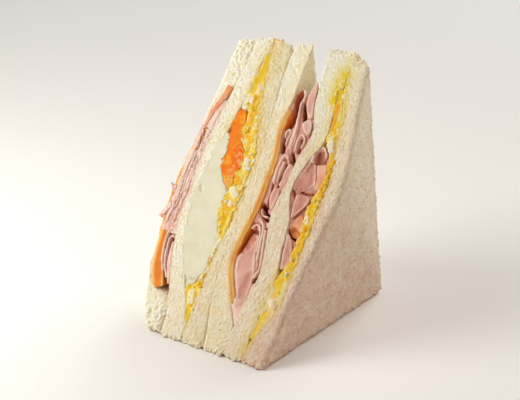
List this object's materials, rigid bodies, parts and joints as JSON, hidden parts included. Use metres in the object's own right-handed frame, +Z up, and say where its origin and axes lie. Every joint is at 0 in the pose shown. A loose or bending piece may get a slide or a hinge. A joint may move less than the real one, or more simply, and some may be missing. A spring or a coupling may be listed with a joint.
{
  "type": "ham and cheese sandwich with egg",
  "caption": "Crustless white bread sandwich cut corner to corner, standing on one edge with its layers of folded ham, cheese, boiled egg and mashed egg showing at the cut.",
  "frame": {"origin": "middle of the underside: the point of the resting surface under the centre of the bounding box", "axes": "+Z up along the upright crustless edge; -Y towards the low front tip, so that the sloping cut faces front and up; +X to the right of the stack as the cut is faced"},
  "size_m": [0.0837, 0.098, 0.1111],
  "materials": {
    "bread": "soft, dry, finely pored white bread crumb",
    "ham": "moist, slightly glossy cooked ham",
    "cheese": "smooth, waxy orange cheese slice",
    "egg_white": "smooth, moist boiled egg white",
    "egg_yolk": "crumbly orange boiled yolk",
    "egg_mash": "moist, lumpy yellow mashed egg with white bits"
  },
  "bodies": {
    "root": {"bread_slice_1": "bread", "bread_slice_2": "bread", "bread_slice_3": "bread", "bread_slice_4": "bread", "bread_slice_5": "bread", "bread_slice_6": "bread", "cheese_left": "cheese", "ham_left_1": "ham", "ham_left_2": "ham", "ham_left_3": "ham", "ham_left_4": "ham", "ham_left_5": "ham", "ham_left_6": "ham", "egg_white": "egg_white", "egg_yolk": "egg_yolk", "egg_mash_left": "egg_mash", "cheese_right": "cheese", "ham_middle_1": "ham", "ham_middle_2": "ham", "ham_middle_3": "ham", "ham_middle_4": "ham", "ham_middle_5": "ham", "ham_middle_6": "ham", "ham_middle_7": "ham", "ham_middle_8": "ham", "ham_middle_9": "ham", "ham_middle_10": "ham", "ham_middle_11": "ham", "ham_middle_12": "ham", "ham_middle_13": "ham", "ham_middle_14": "ham", "egg_mash_right": "egg_mash", "ham_right_1": "ham", "ham_right_2": "ham", "ham_right_3": "ham", "ham_right_4": "ham", "ham_right_5": "ham", "ham_right_6": "ham"}
  },
  "joints": []
}
